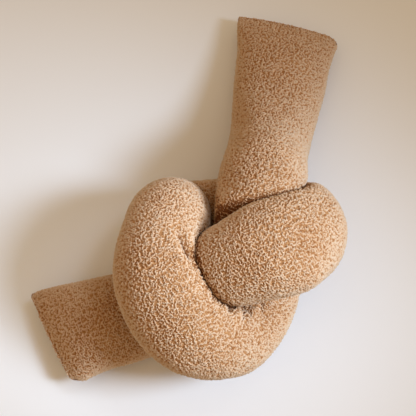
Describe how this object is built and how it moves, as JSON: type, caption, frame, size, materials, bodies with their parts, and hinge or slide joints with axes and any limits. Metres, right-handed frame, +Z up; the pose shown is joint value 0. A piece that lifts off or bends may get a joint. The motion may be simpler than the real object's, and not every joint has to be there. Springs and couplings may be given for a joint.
{
  "type": "knotted bolster cushion",
  "caption": "Long stuffed tube of curly pile cloth tied in an overhand knot, with both flat-seamed tails free, lying on its back as a soft decorative cushion.",
  "frame": {"origin": "middle of the cushion's box, at floor level", "axes": "+Z up from the floor the cushion lies on; +Y along its length, from the lower tail towards the upper tail; +X to the right of one looking down on it"},
  "size_m": [0.6352, 0.8246, 0.2874],
  "materials": {
    "pile_cloth": "curly pile, matt"
  },
  "bodies": {
    "root": {"knot_cushion": "pile_cloth"}
  },
  "joints": []
}
